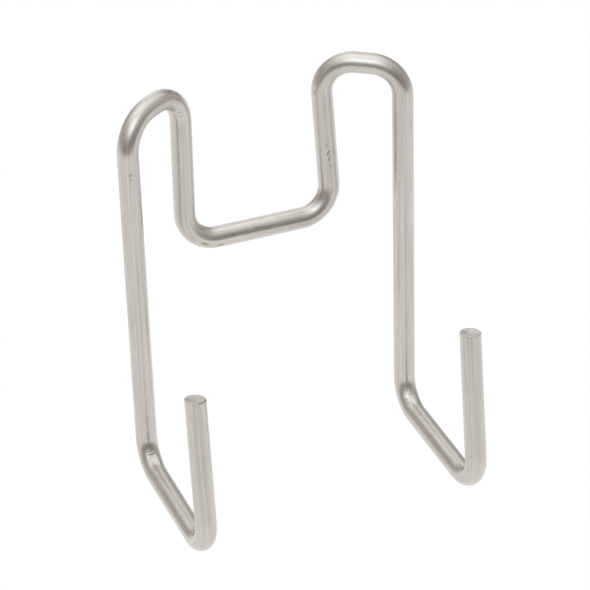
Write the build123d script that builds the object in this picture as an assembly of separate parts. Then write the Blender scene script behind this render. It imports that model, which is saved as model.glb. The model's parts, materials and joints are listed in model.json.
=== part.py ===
from build123d import *

import os

# A frame grip for beekeeping: one round stainless rod, cold-bent into a hanger for hive frames.
#
# The rod starts at an upright tip, runs down and round a heel, back along a cradle arm to a knee, up
# a long leg, over a saddle that also turns inwards, down a short leg and across a level bar. Its other
# half is the mirror image. The saddles hook over a thin wall, which stands between the long legs in
# front and the short legs behind. The short legs lean towards the wall as they go down, so that the
# bar presses on it as a clip. The two cradles, between the long legs and the tips, hold a frame.
#
# +X is to the right, +Y to the back, where the bar is, and +Z up. The origin is where the wall's top
# edge meets the undersides of the saddles, midway between the two. Sizes are in millimetres.

# The stock, and the tool that it is bent with
ROD_DIAMETER = 6.0
FORMER_DIAMETER = 12.0  # the pin that every bend is formed round
EDGE_BREAK = 0.3  # round the two sawn ends

# Every spacing, depth and drop below is to a corner where the centre lines of two runs would cross.
# A spacing is between the left and right corners, a depth is towards the back from the long legs,
# and a drop is down from the saddles' front corners.

# Saddles
LEG_SPACING_AT_SADDLE = 82.2
SHORT_LEG_SPACING = 41.8
SADDLE_DEPTH = 11.5
SADDLE_RISE = 1.7  # from front to back

# Bar at the back
BAR_LENGTH = 44.1
BAR_DEPTH = 9.1
BAR_DROP = 45.4

# Long legs and cradles, in front
LEG_SPACING_AT_KNEE = 79.5
KNEE_DROP = 106.2
HEEL_SPACING = 81.2
HEEL_DEPTH = -48.2
HEEL_DROP = 111.0
TIP_SPACING = 81.8
TIP_DEPTH = -44.2
TIP_DROP = 63.0

ROD_RADIUS = ROD_DIAMETER / 2
BEND_RADIUS = FORMER_DIAMETER / 2 + ROD_RADIUS  # on the rod's centre line

# The origin is under the middle of the saddles, which puts their front corners here.
LEG_PLANE = -SADDLE_DEPTH / 2
SADDLE_CORNER_HEIGHT = ROD_RADIUS - SADDLE_RISE / 2


def corner(spacing, depth, drop):
    """One corner on the right, in the part's frame."""
    return (spacing / 2, LEG_PLANE + depth, SADDLE_CORNER_HEIGHT - drop)


def rod_corners():
    """The corners of the rod's centre line, from the left tip round to the right tip."""
    right_half = [
        corner(BAR_LENGTH, BAR_DEPTH, BAR_DROP),
        corner(SHORT_LEG_SPACING, SADDLE_DEPTH, -SADDLE_RISE),
        corner(LEG_SPACING_AT_SADDLE, 0, 0),
        corner(LEG_SPACING_AT_KNEE, 0, KNEE_DROP),
        corner(HEEL_SPACING, HEEL_DEPTH, HEEL_DROP),
        corner(TIP_SPACING, TIP_DEPTH, TIP_DROP),
    ]
    left_half = [(-x, y, z) for x, y, z in reversed(right_half)]
    return left_half + right_half


def centre_line():
    """Straight runs joined by tangent arcs, all of the one radius that the former gives."""
    return FilletPolyline(*rod_corners(), radius=BEND_RADIUS)


def bent_rod():
    """The whole rod: its round section carried along the centre line, with the sawn edges broken."""
    path = centre_line()
    section = Plane(origin=path @ 0, z_dir=path % 0) * Circle(ROD_RADIUS)
    rod = sweep(section, path=path)
    sawn_ends = rod.faces().filter_by(GeomType.PLANE)
    return chamfer(sawn_ends.edges(), EDGE_BREAK)


os.makedirs("parts", exist_ok=True)
export_step(bent_rod(), "parts/bent_rod.step")
print(f"rod, developed length: {centre_line().length:.1f} mm")
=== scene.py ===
"""Frame grip for beekeeping: a hanger bent from one drawn stainless rod, on a light table.

The rod is one piece, so one mesh stands for it: its round section carried along a centre line of
straight runs and tangent bends, with the bends' flattening, the bender's tool marks, the nicks of
use and the two cropped ends worked into the surface. The steel is drawn and left bare, so its
grain runs along the rod.
"""

import json

import bpy
import numpy as np
from bpy.props import FloatProperty, FloatVectorProperty, IntProperty, PointerProperty
from bpy.types import Operator, Panel, PropertyGroup
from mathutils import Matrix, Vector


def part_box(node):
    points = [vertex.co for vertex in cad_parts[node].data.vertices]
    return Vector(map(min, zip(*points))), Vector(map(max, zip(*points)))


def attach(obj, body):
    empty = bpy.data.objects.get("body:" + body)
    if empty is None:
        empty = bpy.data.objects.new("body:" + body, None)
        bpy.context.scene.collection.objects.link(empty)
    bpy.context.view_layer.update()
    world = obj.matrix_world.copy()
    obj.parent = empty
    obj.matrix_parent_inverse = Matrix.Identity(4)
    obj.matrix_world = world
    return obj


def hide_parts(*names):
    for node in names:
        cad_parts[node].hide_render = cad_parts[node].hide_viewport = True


bl_info = {
    "name": "Frame Grip",
    "version": (1, 0, 0),
    "blender": (4, 5, 0),
    "location": "View3D > Sidebar > Frame Grip",
    "description": "Bends a frame grip for beekeeping from one stainless rod",
    "category": "Add Mesh",
}

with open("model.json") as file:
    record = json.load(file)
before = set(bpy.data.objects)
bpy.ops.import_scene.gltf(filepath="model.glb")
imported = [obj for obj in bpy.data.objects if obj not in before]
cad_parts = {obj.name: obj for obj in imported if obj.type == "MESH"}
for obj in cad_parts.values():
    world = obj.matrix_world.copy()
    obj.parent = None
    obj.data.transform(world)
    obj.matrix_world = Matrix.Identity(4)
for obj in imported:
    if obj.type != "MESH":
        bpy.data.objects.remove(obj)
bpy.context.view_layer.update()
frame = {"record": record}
ROD_NODE = "bent_rod"
BODY = "root"

MOUNTS = {mount["name"]: mount for mount in frame["record"]["mounts"]}
ROD_RADIUS = MOUNTS["left_tip"]["dims"]["r_mm"] / 1000
FLOOR_HEIGHT = float(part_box(ROD_NODE)[0][2])
MM = 0.001

LEFT_SADDLE_BEND = 2  # the place of the left saddle's front bend, counted from the left tip
DRAW_LINE_RELIEF = 0.0035 * MM
DIRTY_DEPTH = 0.03  # in mm: a nick this deep holds all the dirt that it can
SLANT_FADE = (0.3 * MM, 4.0 * MM)  # how far down the side a crop's slant begins and ends to fade
RING_SAMPLES = 20001  # steps in which the density of the rings is summed along the rod

WHITE = (1.0, 1.0, 1.0)
TABLE_HALF = 4.0  # half of the light table's width, in metres
SENSOR_WIDTH = 36.0  # in mm, as the lens is
NEAR_CLIP = 0.01  # in metres


# ---------------------------------------------------------------------------------------------
# Sizes and colours
# ---------------------------------------------------------------------------------------------


def length(name, description, default):
    """A property that is a length in metres."""
    return FloatProperty(
        name=name, description=description, default=default, unit="LENGTH", subtype="DISTANCE", precision=5
    )


def colour(name, description, default):
    """A property that is a linear colour."""
    return FloatVectorProperty(
        name=name, description=description, default=default, subtype="COLOR", size=3, min=0.0, max=4.0
    )


def share(name, description, default, top=1.0):
    """A property that is a plain number from nothing up to top."""
    return FloatProperty(name=name, description=description, default=default, min=0.0, max=top)


def angle(name, description, degrees):
    """A property that is an angle, given here in degrees."""
    return FloatProperty(
        name=name,
        description=description,
        default=float(np.radians(degrees)),
        unit="ROTATION",
        subtype="ANGLE",
    )


class RodSizes(PropertyGroup):
    """The rod's stock and the places of its bends, to where the runs' centre lines would cross."""

    former: length("Forming pin", "Diameter of the pin that each bend is formed round", 12 * MM)
    opened: length("Opened bend", "Radius of the left saddle's front bend, which sprang open", 10.5 * MM)
    leg_spacing_saddle: length("Leg spacing, saddles", "Between the long legs at the top", 82.2 * MM)
    short_leg_spacing: length("Short leg spacing", "Between the short legs at the top", 41.8 * MM)
    saddle_depth: length("Saddle depth", "From the long legs back to the short legs", 11.5 * MM)
    saddle_rise: length("Saddle rise", "From a saddle's front corner to its back corner", 1.7 * MM)
    bar_length: length("Bar length", "Between the corners of the bar at the back", 44.1 * MM)
    bar_depth: length("Bar depth", "From the long legs back to the bar", 9.1 * MM)
    bar_drop: length("Bar drop", "From the saddles' front corners down to the bar", 45.4 * MM)
    leg_spacing_knee: length("Leg spacing, knees", "Between the long legs at the bottom", 79.5 * MM)
    knee_drop: length("Knee drop", "From the saddles' front corners down to the knees", 106.2 * MM)
    heel_spacing: length("Heel spacing", "Between the two heels", 81.2 * MM)
    heel_reach: length("Heel reach", "From the long legs forwards to the heels", 48.2 * MM)
    heel_drop: length("Heel drop", "From the saddles' front corners down to the heels", 111.0 * MM)
    tip_spacing: length("Tip spacing", "Between the two tips", 81.8 * MM)
    tip_reach: length("Tip reach", "From the long legs forwards to the tips", 44.2 * MM)
    tip_drop: length("Tip drop", "From the saddles' front corners down to the tips", 63.0 * MM)
    flattening: share(
        "Bend flattening", "How far a bend's section is squashed, as a share of its radius", 0.03
    )
    edge: length("Edge rounding", "Radius of the worn edge round each cropped end", 0.22 * MM)
    around: IntProperty(name="Points round", description="Points in each ring", default=112, min=24)
    ring_step: length("Ring step", "Distance between rings on plain stretches", 1.0 * MM)
    fine_step: length("Fine step", "Distance between rings where the rod is marked", 0.18 * MM)


class SteelFinish(PropertyGroup):
    """The look of drawn stainless steel, left bare."""

    pale: colour("Pale streaks", "Steel in the brighter draw lines", (0.692, 0.653, 0.615))
    dull: colour("Dull streaks", "Steel in the duller draw lines", (0.519, 0.477, 0.435))
    rosy: colour("Rosy film", "Tint of the oxide film where it is rosy", (1.012, 0.992, 0.996))
    greenish: colour("Greenish film", "Tint of the oxide film where it is greenish", (0.988, 1.008, 0.990))
    # The dirt colour also paints the shade on the cropped faces.
    dirt: colour("Dirt", "What stays in nicks and tool marks", (0.16, 0.13, 0.10))
    stain: colour("Stain", "Brown specks under the bar", (0.33, 0.24, 0.15))
    roughness: share("Roughness", "Of the clean steel", 0.255)
    roughness_spread: share("Roughness spread", "How much the roughness varies", 0.10)
    line_depth: length("Draw line depth", "Depth of the fine lines along the rod", 0.020 * MM)


class StageSettings(PropertyGroup):
    """The camera, the room and the floor."""

    azimuth: angle("Camera azimuth", "From the front, positive to the right", -21.74)
    elevation: angle("Camera elevation", "Above the horizon", 28.65)
    roll: angle("Camera roll", "Positive tips the top of the view to the left", -1.89)
    distance: length("Camera distance", "From the camera to its aim", 1.2227)
    lens: FloatProperty(name="Lens", description="Focal length", default=264.7, unit="CAMERA")
    aim: FloatVectorProperty(
        name="Aim", description="Where the camera looks", default=(0.00674, -0.00575, -0.0620), subtype="XYZ"
    )
    floor: colour("Floor", "The light table", (1.0, 1.0, 1.0))
    walls: colour("Walls", "The dim room round the table", (1.05, 1.0, 0.95))
    lamps: colour("Lamps", "The ceiling, the backdrop and the softbox", (0.93, 1.01, 1.06))


# ---------------------------------------------------------------------------------------------
# Shapes
# ---------------------------------------------------------------------------------------------


def unit(vectors):
    """Each vector divided by its length."""
    vectors = np.asarray(vectors, float)
    return vectors / np.linalg.norm(vectors, axis=-1, keepdims=True)


def smooth(x, low, high):
    """0 below low, 1 above high, and 3t^2 - 2t^3 between them."""
    t = np.clip((x - low) / (high - low), 0.0, 1.0)
    return t * t * (3 - 2 * t)


def turned(vectors, axis, angles):
    """Vectors turned about a unit axis by angles, by Rodrigues' formula."""
    c = np.cos(angles)[..., None]
    s = np.sin(angles)[..., None]
    along = (vectors @ axis)[..., None] * axis
    return vectors * c + np.cross(axis, vectors) * s + along * (1 - c)


# How far hand bending left each corner of the centre line from the even plan, in mm: to the right,
# to the back and up, from the left tip round to the right tip.
HAND_BENDING = (
    (0.05, 0.0, 0.14),
    (0.10, 0.0, -0.08),
    (0.05, 0.0, 0.0),
    (0.04, 0.0, 0.18),
    (0.04, 0.0, 0.18),
    (0.13, 0.0, 0.0),
    (0.13, 0.0, 0.0),
    (-0.03, 0.0, -0.04),
    (-0.03, 0.0, -0.04),
    (-0.03, 0.0, 0.0),
    (-0.04, 0.0, -0.10),
    (-0.06, 0.0, 0.10),
)


def rod_corners(sizes):
    """The corners of the rod's centre line, from the left tip round to the right tip."""
    leg_plane = -sizes.saddle_depth / 2
    top = ROD_RADIUS - sizes.saddle_rise / 2

    def corner(spacing, depth, drop):
        """One corner on the right: half of spacing out, depth back and drop down."""
        return (spacing / 2, leg_plane + depth, top - drop)

    right_half = np.array(
        [
            corner(sizes.bar_length, sizes.bar_depth, sizes.bar_drop),
            corner(sizes.short_leg_spacing, sizes.saddle_depth, -sizes.saddle_rise),
            corner(sizes.leg_spacing_saddle, 0, 0),
            corner(sizes.leg_spacing_knee, 0, sizes.knee_drop),
            corner(sizes.heel_spacing, -sizes.heel_reach, sizes.heel_drop),
            corner(sizes.tip_spacing, -sizes.tip_reach, sizes.tip_drop),
        ]
    )
    left_half = right_half[::-1] * (-1, 1, 1)
    return np.vstack([left_half, right_half]) + np.array(HAND_BENDING) * MM


class CentreLine:
    """Straight runs joined by tangent arcs, with a frame that doesn't twist along them.

    At each corner the arc has its own radius r, and its turn is a, so the arc starts r tan(a/2)
    before the corner. Along a run, the point is start + distance * direction. Along an arc, start,
    direction and frame turn together about the arc's axis by distance / r.
    """

    def __init__(self, corners, radii):
        self.radii = radii
        runs = np.diff(corners, axis=0)
        self.directions = unit(runs)
        ahead, behind = self.directions[1:], self.directions[:-1]
        self.turns = np.arccos(np.clip((ahead * behind).sum(1), -1, 1))
        self.axes = unit(np.cross(behind, ahead))
        self.outward = unit(behind - ahead)
        cut = radii * np.tan(self.turns / 2)
        self.run_starts = corners[:-1].copy()
        self.run_starts[1:] += ahead * cut[:, None]
        run_lengths = np.linalg.norm(runs, axis=1)
        run_lengths[1:] -= cut
        run_lengths[:-1] -= cut
        self.bend_lengths = radii * self.turns
        bend_starts = corners[1:-1] - behind * cut[:, None]
        self.centres = bend_starts - radii[:, None] * np.cross(behind, self.axes)
        stretches = np.zeros(2 * len(self.turns) + 1)
        stretches[0::2] = run_lengths
        stretches[1::2] = self.bend_lengths
        self.marks = np.concatenate([[0.0], np.cumsum(stretches)])
        self.length = self.marks[-1]
        self.sides = self.carried_sides()

    def carried_sides(self):
        """The frame's first side on each run: carried from run to run by each corner's turn."""
        first = unit(np.cross(self.directions[0], (1.0, 0.0, 0.0)))
        sides = [first]
        for axis, turn in zip(self.axes, self.turns):
            sides.append(turned(sides[-1], axis, np.array(turn)))
        return np.array(sides)

    def at(self, distances):
        """The points, and the side, second side and direction of the frame, at distances along."""
        stretch = np.clip(np.searchsorted(self.marks, distances, side="right") - 1, 0, len(self.marks) - 2)
        past = distances - self.marks[stretch]
        bent = stretch % 2 == 1
        run = stretch // 2
        corner = np.minimum(run, len(self.turns) - 1)
        angles = np.where(bent, past / self.radii[corner], 0.0)
        axis = self.axes[corner]
        direction = self.swung(self.directions[run], axis, angles)
        side = self.swung(self.sides[run], axis, angles)
        straight = self.run_starts[run] + self.directions[run] * past[:, None]
        arc = self.centres[corner] + self.radii[corner][:, None] * np.cross(direction, axis)
        point = np.where(bent[:, None], arc, straight)
        return point, side, np.cross(direction, side), direction

    @staticmethod
    def swung(vectors, axes, angles):
        """Each vector turned about its own axis by its own angle, by Rodrigues' formula."""
        c = np.cos(angles)[:, None]
        s = np.sin(angles)[:, None]
        along = (vectors * axes).sum(1)[:, None] * axes
        return vectors * c + np.cross(axes, vectors) * s + along * (1 - c)


def ripples(x, y, size, seed, waves=24):
    """A sum of cosine waves of about one size, in seeded directions, that stays within about 1."""
    dice = np.random.default_rng(seed)
    bearing = dice.uniform(0, 2 * np.pi, waves)
    pitch = size * dice.uniform(0.6, 1.8, waves)
    phase = dice.uniform(0, 2 * np.pi, waves)
    across = x[..., None] * np.cos(bearing) + y[..., None] * np.sin(bearing)
    return np.cos(2 * np.pi * across / pitch + phase).sum(-1) / np.sqrt(waves) * 0.7


def draw_lines(distance, turn, seed=11):
    """Shallow lines that the drawing die left: cosines round the rod that drift slowly along it."""
    dice = np.random.default_rng(seed)
    total = np.zeros(np.broadcast(distance, turn).shape)
    for count in range(7, 44, 3):
        drift = dice.uniform(-0.012, 0.012) / MM
        phase = dice.uniform(0, 2 * np.pi)
        fade = 0.65 + 0.35 * np.cos(distance / (dice.uniform(9, 26) * MM) + phase)
        total += np.cos(count * turn + drift * distance + phase) * fade / count
    return total


class Marks:
    """Places on the rod's surface: a distance along it, and the side that faces a direction."""

    def __init__(self, line, distance, turn):
        self.line = line
        self.distance = distance
        self.turn = turn

    def offsets(self, at, facing):
        """How far each point of the grid is from a place, along the rod and round it, in metres."""
        _, side, second, _ = self.line.at(np.array([at]))
        facing = np.array(facing, float)
        bearing = np.arctan2(second[0] @ facing, side[0] @ facing)
        round_it = (self.turn - bearing + np.pi) % (2 * np.pi) - np.pi
        return self.distance - at, round_it * ROD_RADIUS

    def spot(self, at, facing, length, width, slant=0.0):
        """A soft oval: exp(-(a/length)^2 - (b/width)^2), turned by slant on the surface."""
        a, b = self.offsets(at, facing)
        along = a * np.cos(slant) + b * np.sin(slant)
        across = b * np.cos(slant) - a * np.sin(slant)
        return np.exp(-((along / length) ** 2) - (across / width) ** 2)


def bend_squash(sizes, marks):
    """The share of the radius that a bend takes away or adds.

    w rises from 0 at the bend's two ends to 1 in its middle as a squared sine. With c the cosine of
    the angle from the outside of the bend, the surface moves by w (s^2/2 - c^2) times the flattening
    on the outside, and half of that on the inside, so that the section is squashed and broadened.
    """
    line = marks.line
    total = np.zeros_like(marks.turn)
    for index, outward in enumerate(line.outward):
        start, end = line.marks[2 * index + 1 : 2 * index + 3]
        part = np.clip((marks.distance - start) / (end - start), 0, 1)
        weight = np.sin(np.pi * part) ** 2
        middle = np.array([(start + end) / 2])
        _, side, second, _ = line.at(middle)
        bearing = np.arctan2(second[0] @ outward, side[0] @ outward)
        c = np.cos(marks.turn - bearing)
        where = np.where(c > 0, 1.0, 0.5)
        total += weight * (0.5 * (1 - c**2) - c**2) * where
    return total * sizes.flattening


# Each nick: distance along the rod, the way that it faces, length, width and depth in mm, and its
# slant on the surface in degrees. Distances run from the left tip.
NICKS = (
    (179.7, (-0.26, -0.96, 0.0), 0.95, 0.17, 0.03, 3),
    (180.0, (-0.14, -0.99, 0.0), 0.75, 0.15, 0.03, 0),
    (178.5, (-0.19, -0.98, 0.0), 0.22, 0.42, 0.03, -20),
    (207.3, (0.46, -0.23, 0.86), 0.60, 0.36, 0.05, 20),
    (206.9, (0.42, -0.42, 0.80), 0.50, 0.24, 0.03, 0),
    (209.4, (0.66, -0.34, 0.67), 0.75, 0.36, 0.05, -25),
    (213.0, (-0.16, -0.96, -0.22), 0.30, 0.40, 0.03, 30),
    (213.6, (-0.02, -0.97, -0.26), 0.28, 0.26, 0.03, 0),
    (215.2, (-0.08, -0.99, -0.15), 0.40, 0.24, 0.03, 30),
    (265.2, (0.0, -0.94, 0.34), 0.60, 0.30, 0.05, 8),
    (264.4, (0.0, -0.96, 0.27), 0.30, 0.20, 0.03, 40),
    (272.3, (0.0, -0.89, 0.46), 0.60, 0.26, 0.04, 20),
    (274.2, (0.0, -0.91, 0.41), 0.90, 0.18, 0.03, -6),
    (337.7, (-0.63, -0.70, 0.34), 1.1, 0.22, 0.06, 4),
    (314.2, (-0.31, -0.95, 0.04), 0.8, 0.15, 0.03, 8),
    (311.9, (-0.12, -0.98, 0.05), 0.5, 0.26, 0.04, 40),
    (311.3, (-0.26, -0.96, 0.05), 0.5, 0.22, 0.04, -30),
    (309.8, (-0.16, -0.98, 0.05), 1.1, 0.18, 0.05, 22),
    (307.6, (-0.10, -0.99, 0.05), 0.4, 0.22, 0.04, 0),
    (330.0, (-0.89, -0.45, 0.09), 0.7, 0.20, 0.04, 35),
    (331.3, (-0.80, -0.58, 0.12), 0.6, 0.18, 0.03, -30),
    (371.8, (0.34, -0.94, 0.0), 0.5, 0.22, 0.03, 10),
    (519.9, (0.12, -0.99, 0.08), 0.6, 0.34, 0.014, 30),
    (460.4, (-0.65, -0.42, 0.63), 0.35, 0.30, 0.07, 0),
    (90.6, (-0.34, -0.78, 0.52), 0.30, 0.30, 0.05, 0),
    (90.7, (-0.05, -0.86, 0.50), 0.24, 0.26, 0.05, 0),
    (91.4, (0.06, -0.88, 0.47), 0.28, 0.46, 0.06, 0),
)

# Where the rings lie closer together: distance along the rod, and how far each way, in mm.
MARKED = (
    (87.5, 4.5),
    (178.7, 1.5),
    (208.2, 1.8),
    (214.6, 1.2),
    (265.0, 1.0),
    (273.2, 1.5),
    (310.0, 2.5),
    (337.7, 1.0),
    (458.3, 3.2),
    (519.9, 0.5),
)

# Brown specks under the bar: distance along the rod, the way that each faces, length and width.
STAINS = (
    (257.0, (-0.06, -0.92, -0.38), 1.2, 0.42),
    (261.3, (0.0, -0.90, -0.43), 1.0, 0.34),
)


def nick_field(marks):
    """All the nicks: how deep each point of the surface is cut, and how dirty it is."""
    cut = np.zeros_like(marks.turn)
    dirt = np.zeros_like(marks.turn)
    for at, facing, long, wide, deep, slant in NICKS:
        spot = marks.spot(at * MM, facing, long * MM, wide * MM, np.radians(slant))
        cut += spot * deep * MM
        dirt = np.maximum(dirt, spot * min(deep / DIRTY_DEPTH, 1.0))
    return cut, dirt


def stain_field(marks):
    """How brown each point of the surface is."""
    stained = np.zeros_like(marks.turn)
    for at, facing, long, wide in STAINS:
        stained = np.maximum(stained, marks.spot(at * MM, facing, long * MM, wide * MM))
    return stained


def knee_marks(marks):
    """The bender's tool marks inside the two knees: how deep they are cut, and how dirty.

    On the left the tool's edge pressed a step across the rod, with a flat land below it: the depth is
    that of a plane across the round, r - (r - depth) / cos(angle), faded out away from the step. On
    the right it slipped, and left a groove along the rod, two thumbed hollows and a raised lip.
    """
    left_at, left_facing = 89.6 * MM, (-0.03, -0.76, 0.65)
    a, b = marks.offsets(left_at, left_facing)
    land_depth = 0.27 * MM
    chord = ROD_RADIUS - (ROD_RADIUS - land_depth) / np.cos(np.clip(b / ROD_RADIUS, -1.2, 1.2))
    below_step = 1 - smooth(a, -0.02 * MM, 0.20 * MM)
    not_far = smooth(a, -8.5 * MM, -3.5 * MM)
    cut = np.maximum(chord, 0) * below_step * not_far
    pressed = np.exp(-(((a - 0.06 * MM) / (0.15 * MM)) ** 2)) * (1 - smooth(np.abs(b), 1.15 * MM, 1.5 * MM))
    cut += pressed * 0.06 * MM

    right_facing = (-0.28, -0.72, 0.64)
    groove = marks.spot(457.0 * MM, (-0.22, -0.80, 0.56), 1.9 * MM, 0.22 * MM)
    hollow = marks.spot(458.7 * MM, (-0.48, -0.60, 0.64), 1.9 * MM, 0.55 * MM)
    thumb = marks.spot(459.3 * MM, (0.02, -0.64, 0.77), 0.7 * MM, 0.8 * MM)
    lip = marks.spot(458.1 * MM, right_facing, 0.35 * MM, 0.6 * MM)
    cut += groove * 0.05 * MM + hollow * 0.06 * MM + thumb * 0.07 * MM - lip * 0.04 * MM
    dirt = np.maximum(pressed, np.maximum(groove * 0.5, lip * 0.5))
    return cut, dirt


def end_profile(sizes, rings=16, edge_rings=7):
    """Half the outline of an end: radii from the middle outwards, and how far each lies inside.

    The radius grows evenly over the face, and then follows the edge's quarter circle: r - e + e sin t
    out, and e - e cos t in, where e is the edge's radius.
    """
    flat = np.linspace(0, ROD_RADIUS - sizes.edge, rings + 1)[1:-1]
    t = np.linspace(0, np.pi / 2, edge_rings)
    out = np.concatenate([flat, ROD_RADIUS - sizes.edge + sizes.edge * np.sin(t)])
    inset = np.concatenate([np.zeros_like(flat), sizes.edge * (1 - np.cos(t))])
    return out, inset


# Dark patches on the cropped faces, partly dirt and partly painted shade: the dark crescent on the front of
# each face is painted shade of the dish's near wall and under the burr, and the patch inside the left face
# is painted shade too. Each gives its middle to the right and to the back, how far round and how far in and
# out it spreads, all as shares of the rod's radius, and its strength.
LEFT_FACE_DIRT_AND_SHADE = (
    (0.45, -0.82, 0.75, 0.10, 1.0),
    (-0.48, 0.06, 0.20, 0.16, 0.7),
    (-0.85, 0.45, 0.40, 0.06, 0.6),
    (0.70, 0.68, 0.45, 0.06, 0.6),
)
# The right face: partly dirt, and painted shade on the front of its rim.
RIGHT_FACE_DIRT_AND_SHADE = (
    (-0.40, 0.28, 0.20, 0.18, 0.9),
    (0.78, 0.50, 0.50, 0.10, 0.8),
    (0.42, -0.60, 0.35, 0.07, 0.8),
    (-0.80, -0.45, 0.30, 0.05, 0.4),
)


# How each end is cropped: the seed of its torn face, how that face tilts along the frame's two sides,
# how the whole end slants to the right, to the back and up, and how far it stands out past the plan.
LEFT_CROP = {"seed": 5, "tilt": (0.02, 0.03), "slope": (-0.11, 0.0, 0.0), "lift": -0.20 * MM}
RIGHT_CROP = {"seed": 8, "tilt": (0.03, -0.02), "slope": (-0.10, 0.0, 0.0), "lift": 0.75 * MM}


def rim_dirt_and_shade(offset, patches):
    """Soft patches of dirt and painted shade that follow the rim: exp(-(round/spread)^2 - (out/depth)^2)
    about each middle.
    """
    total = np.zeros(offset.shape[:2])
    across = offset[..., 0] / ROD_RADIUS
    back = offset[..., 1] / ROD_RADIUS
    for right, rear, spread, depth, strength in patches:
        middle = np.hypot(right, rear)
        bearing = np.arctan2(rear, right)
        turn = (np.arctan2(back, across) - bearing + np.pi) % (2 * np.pi) - np.pi
        patch = np.exp(-((turn * middle / spread) ** 2) - ((np.hypot(across, back) - middle) / depth) ** 2)
        total = np.maximum(total, patch * strength)
    return total


def cropped_face(x, y, slope, seed):
    """How far a cropped end's face lies inside its edge, at x and y on the face.

    It is a dish, a tilt along slope, and ripples where the rod tore off.
    """
    out = np.hypot(x, y) / ROD_RADIUS
    dish = 0.28 * MM * np.clip(1 - (out / 0.84) ** 2, 0, None) ** 0.7
    tilt = x * slope[0] + y * slope[1]
    rough = ripples(x, y, 1.1 * MM, seed) * 0.045 * MM + ripples(x, y, 0.5 * MM, seed + 1) * 0.018 * MM
    inside = smooth(1 - out, 0.04, 0.22)
    return dish + tilt + rough * inside


def end_slant(offset, from_end, slope, lift):
    """How far a crop's slant carries the surface outwards: a tilt and a lift that fade out down the side."""
    return (offset @ np.array(slope) + lift) * (1 - smooth(from_end, *SLANT_FADE))[:, None]


def closed_tube(name, points):
    """A mesh of rings of points, joined in quads, with a pole at each end in a fan of triangles.

    points is (rings, points in a ring, 3), and each pole is the mean of its end ring.
    """
    rings, around, _ = points.shape
    poles = np.array([points[0].mean(0), points[-1].mean(0)])
    vertices = np.vstack([points.reshape(-1, 3), poles])
    ring = np.arange(rings - 1)[:, None] * around
    here = np.arange(around)[None, :]
    after = (here + 1) % around
    quads = np.stack([ring + here, ring + after, ring + around + after, ring + around + here], -1)
    quads = quads.reshape(-1, 4)
    first = np.stack([np.full(around, rings * around), after[0], here[0]], -1)
    last_ring = (rings - 1) * around
    last = np.stack([np.full(around, rings * around + 1), last_ring + here[0], last_ring + after[0]], -1)
    mesh = bpy.data.meshes.new(name)
    mesh.from_pydata(vertices.tolist(), [], quads.tolist() + first.tolist() + last.tolist())
    mesh.polygons.foreach_set("use_smooth", np.ones(len(mesh.polygons), bool))
    mesh.update()
    return mesh


def set_attribute(mesh, name, kind, values):
    """Writes one value for each vertex into a new attribute."""
    layer = mesh.attributes.new(name, kind, "POINT")
    field = "vector" if kind == "FLOAT_VECTOR" else "value"
    layer.data.foreach_set(field, np.ascontiguousarray(values, np.float32).ravel())


def with_poles(values):
    """A grid's values in the order of closed_tube's vertices, each pole taking its ring's mean."""
    ends = np.array([values[0].mean(0), values[-1].mean(0)])
    return np.concatenate([values.reshape((-1,) + values.shape[2:]), ends])


def ring_places(sizes, line):
    """Where the rings lie along the rod: evenly spaced by their density, which is integrated.

    The density is 1 / ring_step, and rises to 1 / fine_step round each marked place.
    """
    fine = np.linspace(sizes.edge, line.length - sizes.edge, RING_SAMPLES)
    marked = smooth(np.abs(fine - line.length / 2), line.length / 2 - 2.0 * MM, line.length / 2)
    for at, reach in MARKED:
        marked = np.maximum(marked, 1 - smooth(np.abs(fine - at * MM), reach * MM, (reach + 2) * MM))
    density = 1 / sizes.ring_step + marked * (1 / sizes.fine_step - 1 / sizes.ring_step)
    count = np.concatenate([[0.0], np.cumsum((density[1:] + density[:-1]) / 2 * np.diff(fine))])
    return np.interp(np.linspace(0, count[-1], int(count[-1]) + 2), count, fine)[1:-1]


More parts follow.
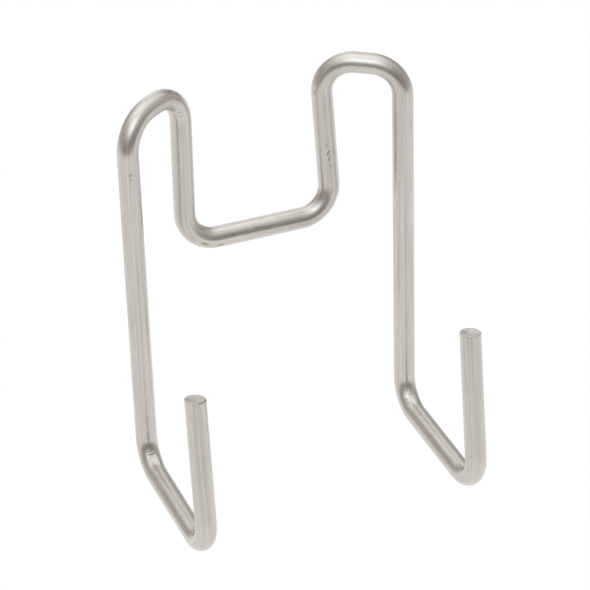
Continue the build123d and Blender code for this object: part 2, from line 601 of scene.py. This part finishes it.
def rod_mesh(sizes):
    """The whole rod, from the middle of the left end's face to the middle of the right end's."""
    corners = rod_corners(sizes)
    radii = np.full(len(corners) - 2, sizes.former / 2 + ROD_RADIUS)
    radii[LEFT_SADDLE_BEND] = sizes.opened
    line = CentreLine(corners, radii)
    turn = np.arange(sizes.around) * (2 * np.pi / sizes.around)
    out, inset = end_profile(sizes)
    along = ring_places(sizes, line)
    distance = np.concatenate([inset, along, line.length - inset[::-1]])
    radius = np.concatenate([out, np.full(along.shape, ROD_RADIUS), out[::-1]])
    point, side, second, direction = line.at(distance)
    grid_distance = np.broadcast_to(distance[:, None], (len(distance), sizes.around))
    grid_turn = np.broadcast_to(turn[None, :], grid_distance.shape)
    marks = Marks(line, grid_distance, grid_turn)

    nicks, nick_dirt = nick_field(marks)
    knees, knee_dirt = knee_marks(marks)
    lines = draw_lines(grid_distance, grid_turn) * DRAW_LINE_RELIEF
    reach = radius[:, None] * (1 + bend_squash(sizes, marks)) + (lines - nicks - knees) * (
        radius[:, None] / ROD_RADIUS
    )

    x = reach * np.cos(turn)
    y = reach * np.sin(turn)
    slide = np.zeros_like(x)
    faces = len(out)
    slide[:faces] = cropped_face(x[:faces], y[:faces], LEFT_CROP["tilt"], LEFT_CROP["seed"])
    slide[-faces:] = -cropped_face(x[-faces:], y[-faces:], RIGHT_CROP["tilt"], RIGHT_CROP["seed"])
    # The face's own slide fades out down the edge, so that the side of the rod stays where it is.
    # The crop's slant carries on into the side.
    fade = np.clip(1 - inset / sizes.edge, 0, 1)[:, None]
    slide[:faces] *= fade
    slide[-faces:] *= fade[::-1]
    offset = x[..., None] * side[:, None, :] + y[..., None] * second[:, None, :]
    slide -= end_slant(offset, distance, LEFT_CROP["slope"], LEFT_CROP["lift"])
    slide += end_slant(offset, line.length - distance, RIGHT_CROP["slope"], RIGHT_CROP["lift"])
    points = point[:, None, :] + offset + slide[..., None] * direction[:, None, :]
    mesh = closed_tube("bent_rod_drawn", points)
    place = np.stack([radius[:, None] * np.cos(turn), radius[:, None] * np.sin(turn), grid_distance], -1)
    set_attribute(mesh, "rod_place", "FLOAT_VECTOR", with_poles(place))
    # Dark patches on the cropped faces, partly dirt and partly painted shade, join the nicks' and knees'
    # dirt.
    face_dirt_and_shade = np.zeros_like(x)
    face_dirt_and_shade[:faces] = rim_dirt_and_shade(offset[:faces], LEFT_FACE_DIRT_AND_SHADE)
    face_dirt_and_shade[-faces:] = rim_dirt_and_shade(offset[-faces:], RIGHT_FACE_DIRT_AND_SHADE)
    # So the "dirt" attribute holds dirt in nicks and tool marks, and painted shade on the cropped faces.
    set_attribute(mesh, "dirt", "FLOAT", with_poles(np.maximum.reduce([nick_dirt, knee_dirt, face_dirt_and_shade])))
    set_attribute(mesh, "stain", "FLOAT", with_poles(stain_field(marks)))
    on_face = np.zeros_like(x)
    on_face[:faces] = 1 - smooth(radius[:faces], ROD_RADIUS * 0.93, ROD_RADIUS)[:, None]
    on_face[-faces:] = on_face[:faces][::-1]
    set_attribute(mesh, "cropped", "FLOAT", with_poles(on_face))
    return mesh


# ---------------------------------------------------------------------------------------------
# Shader maths
# ---------------------------------------------------------------------------------------------


class Wire:
    """A socket of a node tree. Python's operators on values add the Math nodes that work them out."""

    def __init__(self, tree, socket=None):
        self.tree = tree
        self.socket = socket

    def node(self, kind, settings=None, inputs=None, output=0):
        """Adds a node: its settings first, then its sockets' values or links. Returns one output, if any."""
        node = self.tree.nodes.new(kind)
        for key, value in (settings or {}).items():
            setattr(node, key, value)
        for key, value in (inputs or {}).items():
            socket = self.pick(node.inputs, key)
            if isinstance(value, Wire):
                self.tree.links.new(value.socket, socket)
            else:
                socket.default_value = value
        return Wire(self.tree, self.pick(node.outputs, output) if node.outputs else None)

    @staticmethod
    def pick(sockets, key):
        """A socket by its number, its identifier or its name."""
        if isinstance(key, int):
            return sockets[key]
        return next(s for s in sockets if key in (s.identifier, s.name))

    def maths(self, operation, *values):
        """One Math node."""
        return self.node("ShaderNodeMath", {"operation": operation}, dict(enumerate(values)))

    def __add__(self, other):
        return self.maths("ADD", self, other)

    __radd__ = __add__

    def __sub__(self, other):
        return self.maths("SUBTRACT", self, other)

    def __rsub__(self, other):
        return self.maths("SUBTRACT", other, self)

    def __mul__(self, other):
        return self.maths("MULTIPLY", self, other)

    __rmul__ = __mul__

    def __truediv__(self, other):
        return self.maths("DIVIDE", self, other)

    def __rtruediv__(self, other):
        return self.maths("DIVIDE", other, self)

    def __pow__(self, other):
        return self.maths("POWER", self, other)

    def __rpow__(self, other):
        return self.maths("POWER", other, self)

    def smooth(self, low, high, to_low=0.0, to_high=1.0):
        """A smooth step from to_low, at low, to to_high, at high."""
        return self.node(
            "ShaderNodeMapRange",
            {"interpolation_type": "SMOOTHSTEP"},
            {"Value": self, "From Min": low, "From Max": high, "To Min": to_low, "To Max": to_high},
        )

    def mix(self, first, second):
        """A colour between first and second, by this value. Either may be a Wire or a triple."""
        sockets = {
            "Factor_Float": self,
            "A_Color": self.as_colour(first),
            "B_Color": self.as_colour(second),
        }
        return self.node("ShaderNodeMix", {"data_type": "RGBA"}, sockets, "Result_Color")

    @staticmethod
    def as_colour(value):
        """A Wire as it is, or a triple with its alpha."""
        return value if isinstance(value, Wire) else (*value[:3], 1.0)

    def vector(self, operation, other, output=0):
        """One Vector Math node on this vector and another."""
        return self.node("ShaderNodeVectorMath", {"operation": operation}, {0: self, 1: other}, output)

    def noise(self, scale, detail=2.0, roughness=0.5):
        """Fractal noise on this vector, from 0 to 1."""
        return self.node(
            "ShaderNodeTexNoise",
            {},
            {"Vector": self, "Scale": scale, "Detail": detail, "Roughness": roughness},
        )


def drawn_noise(place, keep, scale, detail, roughness):
    """Noise drawn out along the rod: the place along it is multiplied by keep before it is read."""
    return place.vector("MULTIPLY", (1.0, 1.0, keep)).noise(scale, detail, roughness)


def steel_material(finish):
    """Bare drawn stainless: streaks along the rod, fine grain, pits, dirt in the nicks, and painted shade on
    the cropped faces.
    """
    material = bpy.data.materials.new("drawn_stainless")
    material.use_nodes = True
    tree = material.node_tree
    tree.nodes.clear()
    start = Wire(tree)

    place = start.node("ShaderNodeAttribute", {"attribute_name": "rod_place"}, output="Vector")
    # The "dirt" attribute: dirt in the nicks and tool marks, and painted shade on the cropped faces.
    dirt_and_shade_at = start.node("ShaderNodeAttribute", {"attribute_name": "dirt"}, output="Fac")
    stain_at = start.node("ShaderNodeAttribute", {"attribute_name": "stain"}, output="Fac")
    cropped = start.node("ShaderNodeAttribute", {"attribute_name": "cropped"}, output="Fac")

    # Streaks and grooves are noise on the rod's own place, drawn out along it. Grain is not drawn out.
    long_streak = drawn_noise(place, 0.010, 2100, 3.0, 0.6)
    fine_streak = drawn_noise(place, 0.05, 5200, 2.0, 0.6)
    cloud = drawn_noise(place, 0.35, 260, 3.0, 0.55)
    grain = place.noise(6500, 2.0, 0.6)
    grooves = drawn_noise(place, 0.01, 24000, 1.0, 0.5)

    tone = long_streak * 0.55 + fine_streak * 0.25 + cloud * 0.20
    base = tone.smooth(0.34, 0.66).mix(finish.dull, finish.pale)
    hue = drawn_noise(place, 0.03, 2600, 2.0, 0.6).smooth(0.38, 0.62)
    base = hue.mix(finish.rosy, finish.greenish).vector("MULTIPLY", base)

    pits = start.node(
        "ShaderNodeTexVoronoi",
        {"feature": "F1"},
        {"Vector": place, "Scale": 520.0, "Randomness": 1.0},
        "Distance",
    )
    pit = pits.smooth(0.10, 0.02) * cloud.smooth(0.52, 0.62)
    # The steel is darkened to the dirt colour there: dirt, and painted shade on the cropped faces.
    ragged = dirt_and_shade_at * (grain * 1.2 + 0.4)
    soiled_and_shaded = ragged.smooth(0.25, 0.75)
    base = (pit * 0.5).mix(base, finish.dirt)
    base = (soiled_and_shaded * 0.5).mix(base, finish.dirt)
    base = (stain_at.smooth(0.15, 0.7) * (grain + 0.35)).mix(base, finish.stain)

    rough = finish.roughness + (fine_streak - 0.5) * finish.roughness_spread * 2.0
    rough = rough + (cloud - 0.5) * finish.roughness_spread + soiled_and_shaded * 0.2 + cropped * 0.12

    height = grooves * 0.5 + long_streak * 0.3 + fine_streak * 0.3 + grain * 0.03 - pit * 0.2 - soiled_and_shaded * 0.3
    bump = start.node(
        "ShaderNodeBump", {}, {"Strength": 1.0, "Distance": finish.line_depth, "Height": height}, "Normal"
    )
    surface = start.node(
        "ShaderNodeBsdfPrincipled",
        {},
        {"Base Color": base, "Metallic": 1.0, "Roughness": rough, "Normal": bump, "IOR": 1.5},
    )
    start.node("ShaderNodeOutputMaterial", {}, {"Surface": surface})
    return material


def floor_material(settings):
    """A light table: an even glow, so that the floor is pale and takes no shadow."""
    material = bpy.data.materials.new("light_table_glow")
    material.use_nodes = True
    tree = material.node_tree
    tree.nodes.clear()
    start = Wire(tree)
    glow = start.node("ShaderNodeEmission", {}, {"Color": (*settings.floor, 1.0), "Strength": 1.0})
    start.node("ShaderNodeOutputMaterial", {}, {"Surface": glow})
    return material


# ---------------------------------------------------------------------------------------------
# The stage
# ---------------------------------------------------------------------------------------------


def heading(azimuth, elevation):
    """The unit vector towards an azimuth from the front, and an elevation, both in degrees."""
    a, e = np.radians(azimuth), np.radians(elevation)
    return (float(np.sin(a) * np.cos(e)), float(-np.cos(a) * np.cos(e)), float(np.sin(e)))


def lobe(cosine, width):
    """A round glow about a direction: exp((cosine - 1) / width), of the angle away from it."""
    return cosine.maths("EXPONENT", (cosine - 1.0) / width)


# Azimuths and elevations from the front, in degrees, of the camera's side of the room, the backdrop
# opposite it, and the softbox.
CAMERA_SIDE = (-15.3, 0.0)
BACKDROP = (166.0, 0.0)
SOFTBOX = (-31.0, 46.0)

# Brighter and dimmer patches of the room: azimuth from the front, elevation, how wide and how much.
ROOM_PATCHES = (
    (-144.0, 0.0, 0.030, 0.15),
    (-140.0, 42.0, 0.040, 0.10),
    (-178.0, 48.0, 0.030, 0.12),
    (132.0, 33.0, 0.030, -0.15),
    (132.0, 52.0, 0.020, 0.16),
    (158.0, 2.0, 0.030, -0.25),
    (75.0, 5.0, 0.060, 0.10),
    (80.0, 58.0, 0.040, -0.12),
    (-20.0, -8.0, 0.030, 0.10),
)


def toward(way, place):
    """The cosine of the angle between a direction and a place in the room, by azimuth and elevation."""
    return way.vector("DOT_PRODUCT", heading(*place), "Value")


def background(start, tint, strength):
    """One Background node: a tint, and how strongly it glows."""
    return start.node("ShaderNodeBackground", {}, {"Color": (*tint, 1.0), "Strength": strength})


def studio_world(settings):
    """The room that the steel reflects.

    The light table below is white, and ends under the horizon, soonest on the camera's side. Above
    it is a dim room with slightly warm walls, dimmest on the camera's side, with a few brighter and
    dimmer patches. The lamps are slightly cool: a ceiling that brightens evenly, a backdrop opposite
    the camera, and a round softbox high on the camera's side. The camera sees plain white.
    """
    world = bpy.data.worlds.new("studio")
    world.use_nodes = True
    tree = world.node_tree
    tree.nodes.clear()
    start = Wire(tree)
    way = start.node("ShaderNodeTexCoord", {}, {}, "Generated")
    level_way = way.vector("MULTIPLY", (1.0, 1.0, 0.0)).vector("NORMALIZE", (0.0, 0.0, 0.0))
    height = way.vector("DOT_PRODUCT", (0.0, 0.0, 1.0), "Value")
    elevation = height.maths("ARCSINE", height) * float(np.degrees(1.0))

    front = toward(level_way, CAMERA_SIDE)
    behind = toward(level_way, BACKDROP)
    before = front.smooth(0.0, 0.8)
    table = elevation.smooth(-20.7 + 3.0 * before, 3.0 - 16.2 * before, 1.0, 0.0)
    walls = 0.28 + 0.47 * (0.5 - 0.5 * front) ** 0.8
    recess = behind.smooth(0.6, 0.85, 0.0, 0.12) * elevation.smooth(25.0, 40.0, 1.0, 0.0)
    upper = elevation.smooth(30.0, 65.0, 0.0, 0.22) - recess
    room = walls.maths("MINIMUM", walls, 0.50 + upper)
    for azimuth, raised, width, amount in ROOM_PATCHES:
        room = room + amount * lobe(toward(way, (azimuth, raised)), width)
    ceiling = elevation.smooth(13.2, 91.0, 0.0, 0.86)
    backdrop = 0.74 * lobe(behind, 0.074) * elevation.smooth(25.0, 48.0, 1.0, 0.0)
    softbox = 1.27 * lobe(toward(way, SOFTBOX), 0.076)

    below = background(start, WHITE, table)
    round_it = background(start, settings.walls, (1.0 - table) * room)
    above = background(start, settings.lamps, (1.0 - table) * (ceiling + backdrop + softbox))
    lit = start.node("ShaderNodeAddShader", {}, {0: below, 1: round_it})
    lit = start.node("ShaderNodeAddShader", {}, {0: lit, 1: above})
    white = background(start, WHITE, 1.0)
    seen = start.node("ShaderNodeLightPath", {}, {}, "Is Camera Ray")
    both = start.node("ShaderNodeMixShader", {}, {0: seen, 1: lit, 2: white})
    start.node("ShaderNodeOutputWorld", {}, {"Surface": both})
    bpy.context.scene.world = world


def light_table(settings):
    """A level square under the grip, far larger than what the camera sees."""
    half = TABLE_HALF
    corners = [(-half, -half), (half, -half), (half, half), (-half, half)]
    mesh = bpy.data.meshes.new("light_table")
    mesh.from_pydata([(x, y, FLOOR_HEIGHT) for x, y in corners], [], [(0, 1, 2, 3)])
    mesh.materials.append(floor_material(settings))
    table = bpy.data.objects.new("light_table", mesh)
    bpy.context.collection.objects.link(table)
    table.visible_glossy = False
    table.visible_diffuse = False


def studio_camera(settings):
    """A long lens on the aim, from the given azimuth, elevation, distance and roll."""
    a, e, r = settings.azimuth, settings.elevation, settings.roll
    back = np.array([np.sin(a) * np.cos(e), -np.cos(a) * np.cos(e), np.sin(e)])
    right = unit(np.cross(-back, (0.0, 0.0, 1.0)))
    up = np.cross(back, right)
    right, up = np.cos(r) * right + np.sin(r) * up, np.cos(r) * up - np.sin(r) * right
    place = np.eye(4)
    place[:3, 0], place[:3, 1], place[:3, 2] = right, up, back
    place[:3, 3] = np.array(settings.aim) + back * settings.distance
    data = bpy.data.cameras.new("studio_camera")
    data.lens = settings.lens
    data.sensor_width = SENSOR_WIDTH
    data.clip_start = NEAR_CLIP
    camera = bpy.data.objects.new("studio_camera", data)
    camera.matrix_world = place.T.tolist()
    bpy.context.collection.objects.link(camera)
    bpy.context.scene.camera = camera


# ---------------------------------------------------------------------------------------------
# Operators and panel
# ---------------------------------------------------------------------------------------------


class FRAMEGRIP_OT_bend_rod(Operator):
    """Make the grip's one piece, the bent rod, with its finish"""

    bl_idname = "framegrip.bend_rod"
    bl_label = "Bend the Rod"

    def execute(self, context):
        """Make the rod's mesh, give it its steel, and let it stand for the CAD's rod."""
        mesh = rod_mesh(context.scene.rod_sizes)
        mesh.materials.append(steel_material(context.scene.steel_finish))
        rod = bpy.data.objects.new("bent_rod_drawn", mesh)
        context.collection.objects.link(rod)
        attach(rod, BODY)
        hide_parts(ROD_NODE)
        return {"FINISHED"}


class FRAMEGRIP_OT_set_stage(Operator):
    """Set the light table, the room and the camera"""

    bl_idname = "framegrip.set_stage"
    bl_label = "Set the Stage"

    def execute(self, context):
        """Add the camera, the light table and the room."""
        settings = context.scene.stage_settings
        studio_camera(settings)
        light_table(settings)
        studio_world(settings)
        context.scene.view_settings.view_transform = "Standard"
        return {"FINISHED"}


class FRAMEGRIP_PT_panel(Panel):
    """The grip's sizes, its finish and the stage"""

    bl_label = "Frame Grip"
    bl_idname = "FRAMEGRIP_PT_panel"
    bl_space_type = "VIEW_3D"
    bl_region_type = "UI"
    bl_category = "Frame Grip"

    def draw(self, context):
        """List each group of settings above the button that uses it."""
        scene = context.scene
        sections = (
            (FRAMEGRIP_OT_bend_rod, (scene.rod_sizes, scene.steel_finish)),
            (FRAMEGRIP_OT_set_stage, (scene.stage_settings,)),
        )
        for operator, groups in sections:
            box = self.layout.box()
            for group in groups:
                for key in group.__annotations__:
                    box.prop(group, key)
            box.operator(operator.bl_idname)


CLASSES = (
    RodSizes,
    SteelFinish,
    StageSettings,
    FRAMEGRIP_OT_bend_rod,
    FRAMEGRIP_OT_set_stage,
    FRAMEGRIP_PT_panel,
)


def register():
    """Register the classes, and give the scene their settings."""
    for item in CLASSES:
        bpy.utils.register_class(item)
    bpy.types.Scene.rod_sizes = PointerProperty(type=RodSizes)
    bpy.types.Scene.steel_finish = PointerProperty(type=SteelFinish)
    bpy.types.Scene.stage_settings = PointerProperty(type=StageSettings)


def unregister():
    """Undo register, in reverse."""
    del bpy.types.Scene.stage_settings
    del bpy.types.Scene.steel_finish
    del bpy.types.Scene.rod_sizes
    for item in reversed(CLASSES):
        bpy.utils.unregister_class(item)


def main():
    """Make the grip and its stage."""
    register()
    bpy.ops.framegrip.bend_rod()
    bpy.ops.framegrip.set_stage()


if __name__ == "__main__":
    main()
